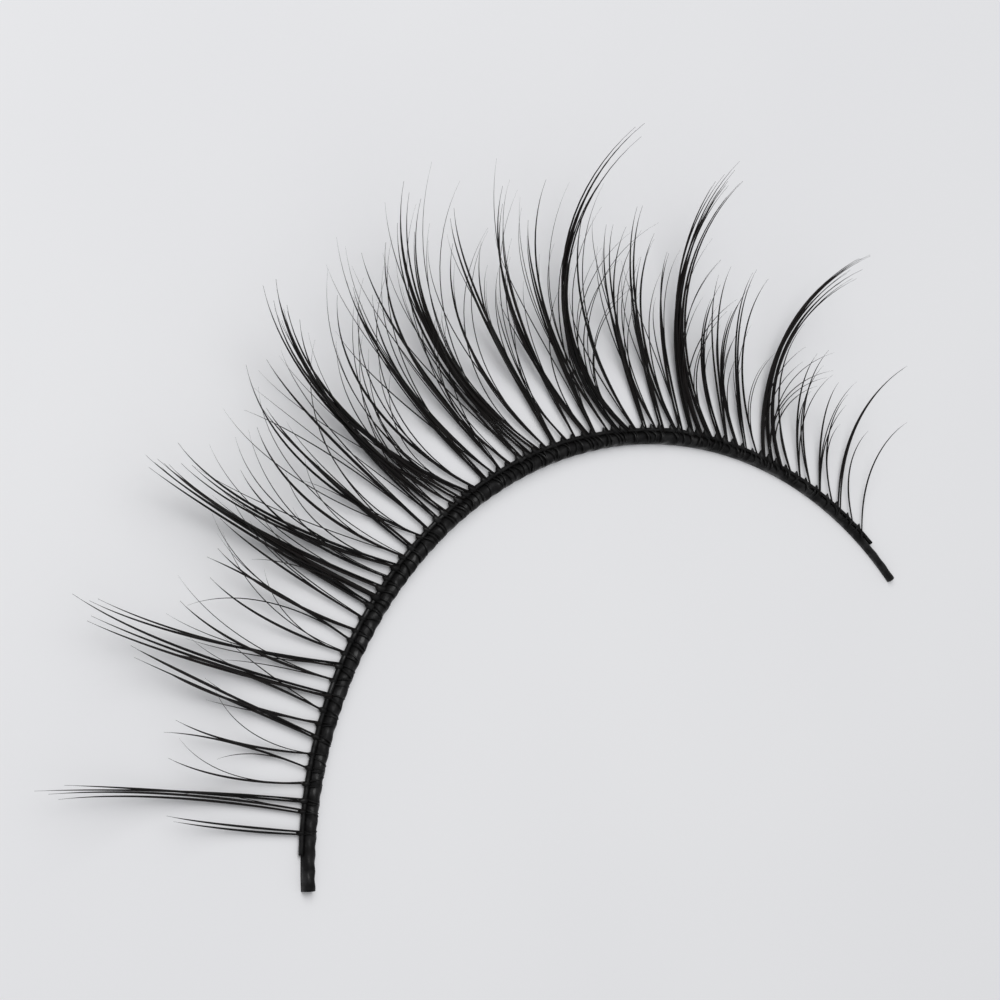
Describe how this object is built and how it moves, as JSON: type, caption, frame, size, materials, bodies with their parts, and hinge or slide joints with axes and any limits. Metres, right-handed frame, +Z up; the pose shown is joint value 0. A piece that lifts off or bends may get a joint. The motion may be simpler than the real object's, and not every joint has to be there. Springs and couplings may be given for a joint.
{
  "type": "false eyelash strip",
  "caption": "Strip of false eyelashes: a thin black band bent in an arc, with a fringe of curled lashes, long at the outer end and short at the inner end.",
  "frame": {"origin": "middle of the band's flat underside, halfway along its arc; z = 0 is the surface that the strip lies on", "axes": "+X along the chord from the outer end to the inner end, +Y away from the eye towards the lash tips, +Z up, the way the lashes curl"},
  "size_m": [0.0368, 0.0209, 0.0038],
  "materials": {
    "band": "black cotton thread soaked in clear glue, satin",
    "lash_fibre": "fine black tapered fibre with a soft sheen"
  },
  "bodies": {
    "root": {"band": "band", "lash_fringe": "lash_fibre"}
  },
  "joints": []
}
